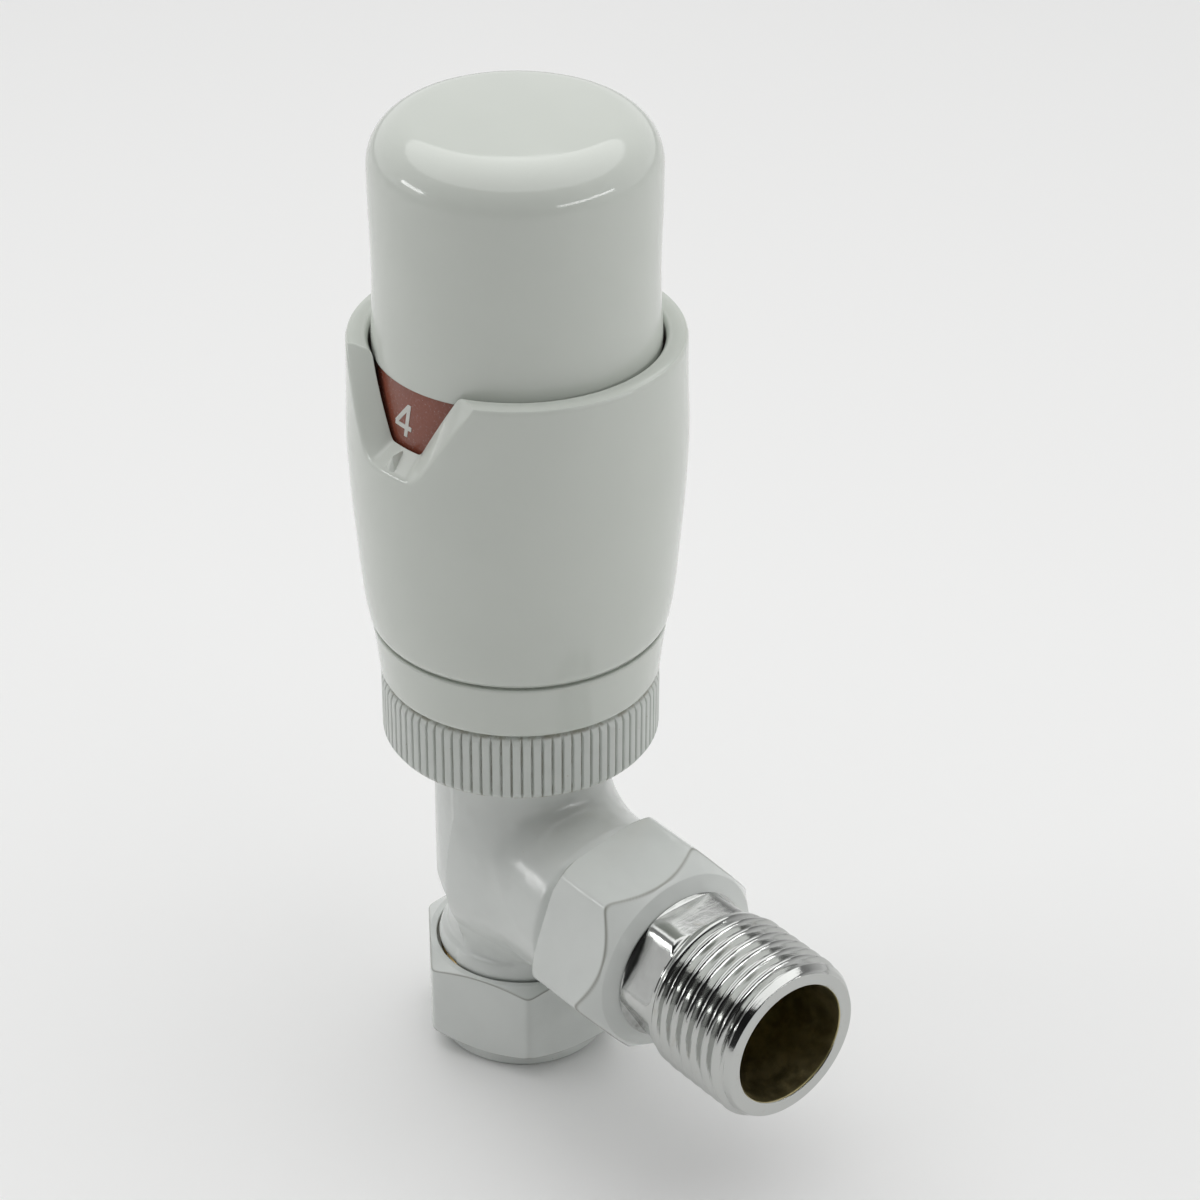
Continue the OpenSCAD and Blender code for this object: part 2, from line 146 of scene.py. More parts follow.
def curve(x, knots):
    """Smooth curve through (x, y) knots, at x."""
    kx, ky = np.array(knots, float).T
    steps, rise = np.diff(kx), np.diff(ky)
    slope = rise / steps
    inner = (slope[:-1] * steps[1:] + slope[1:] * steps[:-1]) / (steps[1:] + steps[:-1])
    tangent = np.concatenate([slope[:1], inner, slope[-1:]])
    i = np.clip(np.searchsorted(kx, x) - 1, 0, len(steps) - 1)
    t = (np.clip(x, kx[0], kx[-1]) - kx[i]) / steps[i]
    return (
        (1 + 2 * t) * (1 - t) ** 2 * ky[i] + t * (1 - t) ** 2 * steps[i] * tangent[i]
        + t * t * (3 - 2 * t) * ky[i + 1] + t * t * (t - 1) * steps[i] * tangent[i + 1]
    )


# ---- Meshes ------------------------------------------------------------------------------


def grid_faces(rows, columns, closed):
    """Quads of a grid whose columns go all the way round, and whose rows do if closed."""
    i = np.arange(rows if closed else rows - 1)[:, None]
    j = np.arange(columns)[None, :]
    below, beside = (i + 1) % rows, (j + 1) % columns
    return np.stack(
        [i * columns + j, i * columns + beside, below * columns + beside, below * columns + j],
        axis=-1,
    ).reshape(-1, 4)


def loft(points, closed=True):
    """(vertices, faces) of a closed skin over points[row][column]. An open one ends in poles."""
    rows, columns = points.shape[:2]
    vertices = points.reshape(-1, 3)
    faces = [tuple(face) for face in grid_faces(rows, columns, closed)]
    if not closed:
        poles = [points[0].mean(axis=0), points[-1].mean(axis=0)]
        for pole, first in ((len(vertices), 0), (len(vertices) + 1, (rows - 1) * columns)):
            faces += [
                (pole, first + k, first + (k + 1) % columns) for k in range(columns)
            ]
        vertices = np.vstack([vertices, poles])
    return vertices, faces


def round_z(radius, angle, height):
    return np.stack([radius * np.cos(angle), radius * np.sin(angle), height + 0 * radius], -1)


def round_x(radius, angle, height):
    """The same about the tail's axis, where height is the place along X."""
    return np.stack(
        [height + 0 * radius, radius * np.sin(angle), outlet_z - radius * np.cos(angle)], -1
    )


def lathe(section, about=round_z, columns=192, shape=None, angles=None, closed=True):
    """Skin of a section of (radius, height) points turned about an axis.

    shape(radius, angle, height) may change the radius, as ribs, flats and threads do.
    """
    if angles is None:
        angles = np.arange(columns) * TURN / columns
    radius, height = section[:, :1], section[:, 1:]
    angle = angles[None, :]
    radius = radius + 0 * angle
    if shape:
        radius = shape(radius, angle, height + 0 * angle)
    return loft(about(radius, angle, height + 0 * angle), closed)


def make(name, skins, body, stands_for, materials, faces_of=None):
    """One mesh object from several closed skins, riding on a body in place of CAD nodes.

    faces_of(centres, skin numbers) gives the number of each face's material.
    """
    vertices, faces, index = [], [], []
    for k, (points, quads) in enumerate(skins):
        start = sum(len(v) for v in vertices)
        vertices.append(points)
        faces += [tuple(int(v) + start for v in quad) for quad in quads]
        index += [k] * len(quads)
    vertices = np.vstack(vertices)
    mesh = bpy.data.meshes.new(name)
    mesh.from_pydata((vertices * MM).tolist(), [], faces)
    cleaned = bmesh.new()
    cleaned.from_mesh(mesh)
    bmesh.ops.recalc_face_normals(cleaned, faces=cleaned.faces)
    cleaned.to_mesh(mesh)
    cleaned.free()
    for material in materials:
        mesh.materials.append(material)
    mesh.polygons.foreach_set("use_smooth", [True] * len(faces))
    if faces_of:
        centres = np.array([p.center for p in mesh.polygons]) / MM
        mesh.polygons.foreach_set("material_index", faces_of(centres, np.array(index)))
    mesh.update()
    thing = bpy.data.objects.new(name, mesh)
    bpy.context.scene.collection.objects.link(thing)
    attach(thing, body)
    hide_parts(*stands_for)
    return thing


# ---- Shapes of flats, threads and ribs -----------------------------------------------------

HEXAGON_COLUMNS = 288


def flats(across, turn, sharpness):
    """Radius of a hexagon with slightly rounded corners, at an angle."""
    def radius(angle):
        total = sum(
            np.abs(np.cos(angle - math.radians(turn + 30 + 60 * k))) ** sharpness
            for k in range(3)
        )
        return across / 2 / total ** (1 / sharpness)
    return radius


def corner_angles(turn, crowding=0.72):
    """Angles round a hexagon, closer together at its corners."""
    even = np.arange(HEXAGON_COLUMNS) * TURN / HEXAGON_COLUMNS
    return even - crowding / 6 * np.sin(6 * (even - math.radians(turn)))


def thread_wave(angle, height, pitch):
    """How deep a right-hand thread is cut, from 0 at a crest to 1 at a root."""
    return 0.5 - 0.5 * np.cos(TURN * (height / pitch - angle / TURN))


def run_out(x, start, full):
    """0 before start, 1 after full, and smooth between."""
    t = np.clip((x - start) / (full - start), 0, 1)
    return t * t * (3 - 2 * t)


def between(x, low, high, fade):
    """1 between low and high, 0 outside, with a smooth fade at each end."""
    return run_out(x, low, low + fade) * run_out(-x, -high, -high + fade)


# ---- Solids from a distance field, for the valve's cast body -------------------------------


class Turned:
    """Signed distance to a section turned about an axis, looked up in a table."""

    STEP = 0.06
    MARGIN = 3.0

    def __init__(self, section):
        self.low = section.min(axis=0) - self.MARGIN
        size = np.ceil((section.max(axis=0) + self.MARGIN - self.low) / self.STEP).astype(int)
        xs = self.low[0] + np.arange(size[0] + 1) * self.STEP
        ys = self.low[1] + np.arange(size[1] + 1) * self.STEP
        px, py = np.meshgrid(xs, ys, indexing="ij")
        nearest = np.full(px.shape, 1e9)
        inside = np.zeros(px.shape, bool)
        for (ax, ay), (bx, by) in zip(section, np.roll(section, -1, axis=0)):
            ex, ey = bx - ax, by - ay
            t = np.clip(((px - ax) * ex + (py - ay) * ey) / (ex * ex + ey * ey), 0, 1)
            away = (px - ax - t * ex) ** 2 + (py - ay - t * ey) ** 2
            nearest = np.minimum(nearest, away)
            if ay != by:
                crosses = (ay > py) != (by > py)
                inside ^= crosses & (px < ax + (py - ay) * ex / ey)
        self.table = np.where(inside, -1, 1) * np.sqrt(nearest)

    def __call__(self, radius, height):
        u = np.clip((radius - self.low[0]) / self.STEP, 0, self.table.shape[0] - 1.001)
        v = np.clip((height - self.low[1]) / self.STEP, 0, self.table.shape[1] - 1.001)
        i, j = u.astype(int), v.astype(int)
        u, v = u - i, v - j
        t = self.table
        return (
            t[i, j] * (1 - u) * (1 - v) + t[i + 1, j] * u * (1 - v)
            + t[i, j + 1] * (1 - u) * v + t[i + 1, j + 1] * u * v
        )


SETTLE_ROUNDS = 3  # times each vertex is moved on to the field's zero surface
MIN_SLOPE = 0.05  # squared, below which a move isn't made any longer


def slope_of(field, p, step=0.03):
    """Gradient of a field at points."""
    return np.stack(
        [
            (field(p + step * axis) - field(p - step * axis)) / (2 * step)
            for axis in np.eye(3)
        ],
        -1,
    )


def surface(field, low, high, step):
    """(vertices, faces) of the zero surface of a field, one vertex to a cell."""
    axes = [np.arange(a, b + step, step) for a, b in zip(low, high)]
    grid = np.stack(np.meshgrid(*axes, indexing="ij"), -1)
    values = field(grid)
    inside = values < 0
    shape = np.array(values.shape) - 1
    total = np.zeros(tuple(shape) + (3,))
    count = np.zeros(tuple(shape))
    offsets = [(i, j, k) for i in (0, 1) for j in (0, 1) for k in (0, 1)]

    def corner(data, offset):
        i, j, k = offset
        return data[i:i + shape[0], j:j + shape[1], k:k + shape[2]]

    for a in offsets:
        for axis in range(3):
            if a[axis]:
                continue
            b = tuple(v + (n == axis) for n, v in enumerate(a))
            va, vb = corner(values, a), corner(values, b)
            cut = (va < 0) != (vb < 0)
            t = np.where(cut, va / np.where(cut, va - vb, 1), 0)
            place = np.array(a, float) + t[..., None] * np.eye(3)[axis]
            total += place * cut[..., None]
            count += cut
    used = count > 0
    index = np.full(tuple(shape), -1)
    index[used] = np.arange(used.sum())
    cells = np.argwhere(used)
    vertices = np.array(low) + step * (cells + total[used] / count[used][:, None])
    faces = []
    for axis in range(3):
        b, c = [n for n in range(3) if n != axis]
        head = [slice(None)] * 3
        tail = [slice(None)] * 3
        head[axis], tail[axis] = slice(None, -1), slice(1, None)
        crossing = np.argwhere(inside[tuple(head)] != inside[tuple(tail)])
        crossing = crossing[(crossing[:, b] > 0) & (crossing[:, c] > 0)]
        crossing = crossing[(crossing[:, b] < shape[b]) & (crossing[:, c] < shape[c])]
        ring = []
        for db, dc in ((0, 0), (-1, 0), (-1, -1), (0, -1)):
            cell = crossing.copy()
            cell[:, b] += db
            cell[:, c] += dc
            ring.append(index[tuple(cell.T)])
        faces.append(np.stack(ring, -1))
    for _ in range(SETTLE_ROUNDS):
        gradient = slope_of(field, vertices)
        size = (gradient ** 2).sum(-1)
        move = field(vertices) / np.maximum(size, MIN_SLOPE)
        vertices = vertices - np.clip(move, -step / 2, step / 2)[:, None] * gradient
    return vertices, np.vstack(faces)


# ---- Materials ---------------------------------------------------------------------------


class Paint:
    """A material whose nodes work in the object's own millimetres."""

    def __init__(self, name):
        self.material = bpy.data.materials.new(name)
        self.material.use_nodes = True
        self.tree = self.material.node_tree
        self.tree.nodes.clear()
        self.shader = self.add("BsdfPrincipled")
        out = self.add("OutputMaterial")
        self.tree.links.new(self.shader.outputs[0], out.inputs["Surface"])
        place = self.add("TexCoord").outputs["Object"]
        scaled = self.add("VectorMath", {0: place, "Scale": 1 / MM}, operation="SCALE")
        self.place = scaled.outputs[0]
        parts = self.add("SeparateXYZ", {0: self.place})
        self.x, self.y, self.z = parts.outputs

    def add(self, kind, inputs=None, **settings):
        node = self.tree.nodes.new("ShaderNode" + kind)
        for key, value in settings.items():
            setattr(node, key, value)
        for key, value in (inputs or {}).items():
            if isinstance(value, bpy.types.NodeSocket):
                self.tree.links.new(value, node.inputs[key])
            else:
                node.inputs[key].default_value = value
        return node

    def math(self, operation, *values):
        inputs = dict(enumerate(values))
        return self.add("Math", inputs, operation=operation).outputs[0]

    def noise(self, size, detail=2.0, roughness=0.5, stretch=(1, 1, 1)):
        """Noise of about that size in millimetres, drawn out along the axes by stretch."""
        scale = Vector([1 / (size * s) for s in stretch])
        place = self.add("VectorMath", {0: self.place, 1: scale}, operation="MULTIPLY").outputs[0]
        return self.add(
            "TexNoise",
            {"Vector": place, "Scale": 1.0, "Detail": detail, "Roughness": roughness},
        ).outputs[0]

    def rings(self, place, detail, roughness):
        """Noise that varies along one coordinate only, as the marks of a turning tool do."""
        across = self.add("CombineXYZ", {0: place}).outputs[0]
        return self.add(
            "TexNoise",
            {"Vector": across, "Scale": 1.0, "Detail": detail, "Roughness": roughness},
        ).outputs[0]

    def specks(self, size, share, radius, softness=0.02):
        """1 in round spots of that radius, in a share of the cells of that size, 0 elsewhere."""
        cells = self.add(
            "TexVoronoi", {"Vector": self.place, "Scale": 1 / size, "Randomness": 1.0}
        )
        pick = self.add("SeparateColor", {0: cells.outputs["Color"]}).outputs[0]
        limit = self.math("MULTIPLY", self.math("LESS_THAN", pick, share), radius / size)
        return self.steps(self.math("SUBTRACT", limit, cells.outputs["Distance"]), 0, softness)

    def steps(self, value, low, high, a=0.0, b=1.0):
        """value taken from low..high to a..b, smoothly, and held beyond."""
        return self.add(
            "MapRange",
            {"Value": value, "From Min": low, "From Max": high, "To Min": a, "To Max": b},
            interpolation_type="SMOOTHSTEP",
        ).outputs[0]

    def mix(self, factor, a, b):
        node = self.add("Mix", data_type="RGBA")
        for socket, value in ((node.inputs[0], factor), (node.inputs[6], a), (node.inputs[7], b)):
            if isinstance(value, bpy.types.NodeSocket):
                self.tree.links.new(value, socket)
            else:
                socket.default_value = value if socket.type != "RGBA" else (*value[:3], 1)
        return node.outputs[2]

    def bumps(self, *layers):
        """Normal after bumps, each (height from 0 to 1, depth in millimetres)."""
        normal = None
        for height, depth in layers:
            inputs = {"Height": height, "Distance": depth * MM, "Strength": 1.0}
            if normal:
                inputs["Normal"] = normal
            normal = self.add("Bump", inputs).outputs[0]
        return normal

    def finish(self, **inputs):
        """The material, with the shader's inputs set by name, such as base_color."""
        for key, value in inputs.items():
            socket = self.shader.inputs[key.replace("_", " ").title()]
            if isinstance(value, bpy.types.NodeSocket):
                self.tree.links.new(value, socket)
            elif socket.type == "RGBA":
                socket.default_value = (*value, 1)
            else:
                socket.default_value = value
        return self.material


def lacquer():
    """Thick white lacquer on a casting: soft waves, fine orange peel, a few dark specks, and
    painted shade along the edges of the nuts' flats.
    """
    p = Paint("white_lacquer")
    tone = p.mix(p.noise(9, 3), (0.63, 0.655, 0.635), (0.71, 0.735, 0.71))
    # Painted shade: a dark grey line where a nut's chamfer meets its flats, read from the
    # attribute the nuts carry.
    painted_edge_shade = p.add("Attribute", attribute_name="painted_edge_shade").outputs["Fac"]
    tone = p.mix(p.math("MULTIPLY", painted_edge_shade, 0.85), tone, (0.24, 0.24, 0.21))
    tone = p.mix(p.math("MULTIPLY", p.specks(2.6, 0.10, 0.10), 0.5), tone, (0.30, 0.27, 0.22))
    rough = p.steps(p.noise(3.5, 3), 0.3, 0.7, 0.17, 0.27)
    normal = p.bumps((p.noise(4.6, 1.2), 0.40), (p.noise(0.9, 2), 0.012))
    return p.finish(
        base_color=tone, roughness=rough, normal=normal, coat_weight=0.15, coat_roughness=0.1,
    )


def gloss_plastic():
    """Glossy white moulding: barely wavy, with hairlines and a little dust."""
    p = Paint("gloss_white_plastic")
    tone = p.mix(p.noise(14, 2), (0.605, 0.636, 0.590), (0.650, 0.680, 0.632))
    dust = p.math("MULTIPLY", p.specks(3.1, 0.08, 0.07), 0.3)
    tone = p.mix(dust, tone, (0.84, 0.84, 0.80))
    hair = p.noise(0.22, 2, 0.6, stretch=(1, 1, 22))
    rough = p.steps(p.noise(5, 3), 0.3, 0.7, 0.06, 0.11)
    rough = p.math("ADD", rough, p.math("MULTIPLY", dust, 0.5))
    normal = p.bumps((p.noise(11, 1), 0.05), (hair, 0.0008), (p.noise(0.5, 2), 0.0015))
    return p.finish(base_color=tone, roughness=rough, normal=normal)


def knurl_plastic():
    """Satin moulding, darker in patches towards the bottoms of its grooves."""
    p = Paint("satin_knurl_plastic")
    squares = p.math("ADD", p.math("MULTIPLY", p.x, p.x), p.math("MULTIPLY", p.y, p.y))
    radius = p.math("SQRT", squares)
    # Darker in patches towards the bottoms of the grooves.
    deep = p.steps(radius, knurl_r - 0.50, knurl_r - 0.24, 1, 0)
    patchy = p.steps(p.noise(1.1, 4, 0.7, stretch=(1, 1, 2.2)), 0.36, 0.62)
    groove_darkening = p.math("MULTIPLY", deep, patchy)
    tone = p.mix(p.noise(2.4, 3), (0.56, 0.59, 0.555), (0.64, 0.665, 0.635))
    tone = p.mix(p.math("MULTIPLY", groove_darkening, 0.6), tone, (0.26, 0.23, 0.16))
    tone = p.mix(p.math("MULTIPLY", p.specks(0.8, 0.05, 0.09), 0.5), tone, (0.34, 0.29, 0.20))
    rough = p.steps(p.noise(1.2, 3), 0.3, 0.7, 0.30, 0.44)
    normal = p.bumps((p.noise(0.16, 2, stretch=(1, 1, 3)), 0.006))
    return p.finish(base_color=tone, roughness=rough, normal=normal)


def red_plastic():
    """Brown-red scale band with pale dust lying on it."""
    p = Paint("red_scale_plastic")
    tone = p.mix(p.noise(3, 2), (0.225, 0.062, 0.036), (0.265, 0.076, 0.046))
    dust = p.math("ADD", p.specks(0.42, 0.12, 0.045), p.specks(0.95, 0.10, 0.08))
    film = p.steps(p.noise(0.35, 4, 0.7), 0.45, 0.85, 0, 0.16)
    veil = p.math("MINIMUM", p.math("ADD", p.math("MULTIPLY", dust, 0.45), film), 1.0)
    tone = p.mix(veil, tone, (0.62, 0.52, 0.48))
    rough = p.math("ADD", 0.24, p.math("MULTIPLY", veil, 0.5))
    normal = p.bumps((p.noise(0.25, 2), 0.003))
    return p.finish(base_color=tone, roughness=rough, normal=normal)


def numeral_paint():
    p = Paint("numeral_print")
    tone = p.mix(p.noise(0.4, 3), (0.60, 0.60, 0.56), (0.70, 0.70, 0.665))
    return p.finish(base_color=tone, roughness=0.45, normal=p.bumps((p.noise(0.12, 2), 0.004)))


def chrome():
    """Bright plating over turned brass: tool rings, slight waves, pits and brown spots."""
    p = Paint("chrome_plating")
    rings = p.rings(p.math("MULTIPLY", p.x, 7.0), 3.0, 0.7)
    grain = p.noise(0.22, 3, 0.6)
    pits = p.math("MULTIPLY", p.specks(1.05, 0.13, 0.13, 0.05), p.steps(p.noise(4, 2), 0.42, 0.6))
    stain = p.steps(p.noise(2.2, 4, 0.65), 0.60, 0.74, 0, 0.30)
    tone = p.mix(stain, (0.52, 0.53, 0.515), (0.36, 0.32, 0.25))
    tone = p.mix(pits, tone, (0.05, 0.035, 0.02))
    rough = p.steps(p.noise(1.6, 3), 0.3, 0.7, 0.05, 0.12)
    rough = p.math("ADD", rough, p.math("MULTIPLY", pits, 0.4))
    rough = p.math("ADD", rough, p.math("MULTIPLY", stain, 0.3))
    normal = p.bumps((p.noise(2.8, 2), 0.05), (rings, 0.016), (grain, 0.006))
    return p.finish(base_color=tone, metallic=1.0, roughness=rough, normal=normal)


def turned_metal(name, dark, light, along, rough=(0.16, 0.32), ring=0.16):
    """Machined metal with tool rings about one axis, ring wide."""
    p = Paint(name)
    place = {"x": p.x, "z": p.z}[along]
    rings = p.rings(p.math("DIVIDE", place, ring), 2.0, 0.6)
    tone = p.mix(p.steps(p.noise(3, 4, 0.6), 0.3, 0.7), dark, light)
    tone = p.mix(p.math("MULTIPLY", rings, 0.25), tone, dark)
    roughness = p.steps(p.noise(1.2, 3), 0.3, 0.7, *rough)
    normal = p.bumps((rings, 0.012), (p.noise(0.3, 1), 0.002))
    return p.finish(base_color=tone, metallic=1.0, roughness=roughness, normal=normal)


def rubber():
    p = Paint("black_rubber")
    tone = p.mix(p.noise(1.5, 3), (0.012, 0.012, 0.012), (0.030, 0.029, 0.028))
    return p.finish(base_color=tone, roughness=0.5, normal=p.bumps((p.noise(0.2, 3), 0.01)))


def carrier_plastic():
    p = Paint("natural_carrier_plastic")
    tone = p.mix(p.noise(4, 3), (0.66, 0.65, 0.60), (0.76, 0.75, 0.71))
    return p.finish(
        base_color=tone, roughness=p.steps(p.noise(1.5, 3), 0.3, 0.7, 0.35, 0.5),
        normal=p.bumps((p.noise(0.3, 3), 0.006)),
    )


finish = {
    "white_paint": lacquer(),
    "white_plastic": gloss_plastic(),
    "knurl_plastic": knurl_plastic(),
    "red_plastic": red_plastic(),
    "numeral_paint": numeral_paint(),
    "chrome": chrome(),
    "brass": turned_metal("machined_brass", (0.50, 0.33, 0.12), (0.74, 0.56, 0.27), along="z"),
    "steel": turned_metal("bright_steel", (0.40, 0.40, 0.40), (0.62, 0.62, 0.62), along="z"),
    "aluminium": turned_metal(
        "drawn_aluminium", (0.55, 0.55, 0.56), (0.74, 0.74, 0.75), along="z",
    ),
    "carrier_plastic": carrier_plastic(),
    "rubber": rubber(),
}
bore_finish = turned_metal(
    "bored_brass", (0.30, 0.26, 0.13), (0.55, 0.48, 0.27), rough=(0.36, 0.48), along="x",
    ring=0.3,
)

for row in frame["record"]["subparts"]:
    mesh = nodes[row["node"]].data
    mesh.materials.clear()
    mesh.materials.append(finish[row["material_slot"]])

# ---- Nuts ----------------------------------------------------------------------------------

nut_af = 24.0  # across the flats
nut_corner = nut_af / math.sqrt(3)
nut_sharpness = 40
pipe_nut_turn = 24.5  # degrees
union_nut_turn = 100.0
nut_lip_r = 9.05
pitch = 1.814  # of G 1/2, as thread_r
thread_r = 10.478
thread_depth = 1.1
nut_hole_r = thread_r + 0.05
edge_shade_width = 0.14  # over which the painted shade along an edge of the flats fades
nut_step = 0.14  # between the rows of a nut's mesh
nut_thread_share = 0.85  # of the thread's depth that is cut into a nut
pipe_nut_hole_r = 7.6
counterbore_r = 11.05


def nut_skin(section, turn, about, hole):
    """A hexagon nut from its section, and how near each vertex is to an edge of the flats, as the
    strength of the painted shade there.

    hole is the threaded stretch of its bore.
    """
    flat = flats(nut_af, turn, nut_sharpness)

    def shape(radius, angle, height):
        outside = soft_min(radius, flat(angle), 0.16)
        wave = 1 - thread_wave(angle, height, pitch)
        cut = nut_thread_share * thread_depth * wave * between(height, *hole, 0.8)
        inner = radius + cut
        return np.where(np.abs(radius - nut_hole_r) < 0.02, inner, outside)

    points = spaced(rounded(section, 0.18), nut_step)
    angles = corner_angles(turn)
    skin = lathe(points, about, shape=shape, angles=angles)
    gap = points[:, :1] - flat(angles)[None, :]
    # Painted shade, strongest where the chamfer meets the flats.
    edge_shade = np.exp(-(gap / edge_shade_width) ** 2) * (points[:, :1] > nut_af / 2 - 0.1)
    return skin, edge_shade.reshape(-1)


def make_nut(name, skin, edge_shade, body, node):
    """A painted nut that keeps, for its material, how much painted shade each vertex gets along
    the edges of its flats.
    """
    paint = "white_paint"
    nut = make(name, [skin], body, [node], [finish[paint]])
    # Painted shade along the edges of the flats, kept on each vertex for the lacquer.
    layer = nut.data.attributes.new("painted_edge_shade", "FLOAT", "POINT")
    layer.data.foreach_set("value", edge_shade.astype(np.float32))


base, top = pipe_nut_low, pipe_nut_top
skin, edge_shade = nut_skin(
    [
        (pipe_nut_hole_r, base, 0.3), (10.7, base), (11, base + 0.4), (11.25, base + 2.25, 0.2),
        (12.1, base + 2.4, 0.5), (nut_corner, base + 3.4, 0.6), (nut_corner, top - 1.0),
        (12, top - 0.06, 0.2), (11.9, top, 0.1), (counterbore_r, top), (counterbore_r, top - 0.9),
        (nut_hole_r, top - 1.3), (nut_hole_r, base + 5), (8.7, base + 3.3),
        (pipe_nut_hole_r, base + 3.3),
    ],
    pipe_nut_turn, round_z, (base + 5, top - 1.3),
)
make_nut("compression_nut_painted", skin, edge_shade, "pipe_nut", "compression_nut")

back, front = nut_back, nut_front
skin, edge_shade = nut_skin(
    [
        (11, back), (11.9, back), (12.9, back + 0.08, 0.5), (nut_corner, back + 0.75, 0.5),
        (nut_corner, front - 4.05), (12.1, front - 1.62, 0.4), (11.6, front - 0.95, 0.3),
        (nut_lip_r + 0.45, front - 0.1, 0.2), (nut_lip_r, front - 0.2, 0.15),
        (nut_lip_r, front - 3.8), (nut_hole_r, front - 3.8), (nut_hole_r, back + 0.7),
        (11, back + 0.2),
    ],
    union_nut_turn, round_x, (back + 0.7, front - 3.8),
)
make_nut("union_nut_painted", skin, edge_shade, "tail_nut", "union_nut")

# ---- Radiator tail ---------------------------------------------------------------------------

tail_hex_start, tail_hex_end = nut_front + 0.05, nut_front + 5.3
tail_hex_turn = 30  # degrees
tail_bore_r = 7.75
tail_trim_r = 9.75  # the hexagon's corners are turned off to this
tail_flange_r, tail_groove_r = 8.9, 8.3
spigot_r, spigot_groove_r = 7.0, 5.9
thread_start = tail_hex_end + 0.4
thread_full = thread_start + 1.8
tail_af, tail_sharpness = 17.5, 18  # across the flats; corners rounder than the nuts'
tail_flat = flats(tail_af, tail_hex_turn, tail_sharpness)


def tail_shape(radius, angle, x):
    hexagon = soft_min(radius, tail_flat(angle), 0.12)
    cut = thread_depth * run_out(x, thread_start - 0.6, thread_full)
    crest = thread_r - 0.45 * (1 - run_out(x, thread_start, thread_full))
    threaded = soft_min(radius, crest - cut * thread_wave(angle, x, pitch), 0.08)
    on_hexagon = (x > tail_hex_start + 0.02) & (x < tail_hex_end + 0.02)
    return np.where(on_hexagon, hexagon, np.where(x > tail_hex_end + 0.1, threaded, radius))


collar_x = tail_start + 8.0
tail_section = [
    (5, tail_start), (6.7, tail_start), (spigot_r, tail_start + 0.3),
    (spigot_r, tail_start + 1.2), (spigot_groove_r, tail_start + 1.2),
    (spigot_groove_r, tail_start + 2.5), (spigot_r, tail_start + 2.5),
    (spigot_r, tail_start + 3.55), (tail_flange_r, tail_start + 3.55),
    (tail_flange_r, tail_start + 6.3), (tail_groove_r, tail_start + 6.3),
    (tail_groove_r, collar_x + 0.05), (nut_lip_r - 0.05, collar_x + 0.05),
    (nut_lip_r - 0.05, tail_hex_start), (tail_trim_r, tail_hex_start + 0.02, 0.1),
    (tail_trim_r, tail_hex_end - 0.9, 0.3), (9.3, tail_hex_end - 0.3, 0.25),
    (9.6, tail_hex_end + 0.1, 0.3), (10.15, thread_start, 0.4), (thread_r, thread_start + 0.6),
    (thread_r, tail_end - 1.7, 0.3), (9.55, tail_end, 0.22), (7.95, tail_end, 0.12),
    (tail_bore_r, tail_end - 0.2, 0.15), (tail_bore_r, 26), (5, 24),
]
skin = lathe(
    spaced(rounded(tail_section, 0.12), 0.13), round_x, shape=tail_shape,
    angles=corner_angles(tail_hex_turn, 0.3),
)


def tail_faces(centres, _):
    """Plating is material 0, and the bare bore 1."""
    from_axis = np.hypot(centres[:, 1], centres[:, 2] - outlet_z)
    return (from_axis < tail_bore_r + 0.08).astype(int).tolist()


make(
    "radiator_tail_plated", [skin], "tail", ["radiator_tail"],
    [finish["chrome"], bore_finish], faces_of=tail_faces,
)

# ---- Valve body: a cast field, with the threaded collars turned ------------------------------

neck_r, boss_r, waist_r = 10.84, 11.2, 9.6
blend_width = 4.6  # over which neck and boss run into each other
insert_r = 9.0
collar_start = 18.85  # the side collar is painted up to here
bead_low = pipe_nut_top - 0.5
neck_section = [
    (0, 12.5), (9.7, 12.5), (9.7, bead_low - 0.05), (10.6, bead_low, 0.3),
    (10.75, bead_low + 0.9, 0.8), (10.35, bead_low + 2.2, 0.3), (waist_r, bead_low + 2.6, 0.6),
    (waist_r, 19.9, 1.5), (10.35, 21.9, 1.5), (neck_r, 23.9, 2.5), (neck_r, knurl_low - 0.3, 0.6),
    (13.8, knurl_low + 1.3), (13.8, knurl_low + 1.9), (0, knurl_low + 1.9),
]
boss_section = [
    (0, 0), (boss_r, 0), (boss_r, 16.3, 0.5), (10.6, 17.4, 0.3), (9.8, 17.8), (9.8, 18.3),
    (0, 18.3),
]
well_section = [
    (0, 10), (7.6, 10), (7.6, 16.5), (6, 16.5), (5, 18), (5, 21), (5.6, 21), (6.4, 20.3),
    (8.2, 20.3), (8.2, 33.6), (insert_r, 33.6), (insert_r, 60), (0, 60),
]
outer_neck = Turned(rounded(neck_section, 0.2))
outer_boss = Turned(rounded(boss_section, 0.2))
well = Turned(np.array(well_section))


def casting(p):
    """Distance field of the cast body: neck and boss blended, less the ways through it."""
    x, y, z = p[..., 0], p[..., 1], p[..., 2]
    about_z = np.hypot(x, y)
    about_x = np.hypot(y, z - outlet_z)
    boss = np.where(x > 0, outer_boss(about_x, x), 9.0)
    outside = soft_min(outer_neck(about_z, z), boss, blend_width)
    outlet = np.maximum(about_x - 6, -x)
    return np.maximum(outside, -np.minimum(well(about_z, z), outlet))


CAST_CELL = 0.36
cast = surface(casting, (-14.3, -14.3, 12.1), (18.9, 14.3, knurl_low + 2.4), CAST_CELL)
thread_play = 0.02
m30_r, m30_pitch, m30_depth = 14.95, 1.5, 0.9


def collar(section, about, crest, step, depth):
    """A threaded ring, whose section starts with the two ends of its thread."""
    points = spaced(rounded(section, 0.1), 0.16)
    low, high = section[0][1], section[1][1]
    threaded_from_r = crest - 1.6

    def shape(radius, angle, height):
        cut = depth * thread_wave(angle, height, step) * between(height, low, high, 0.7)
        return np.where(radius > threaded_from_r, soft_min(radius, crest - cut, 0.06), radius)

    return lathe(points, about, columns=168, shape=shape)


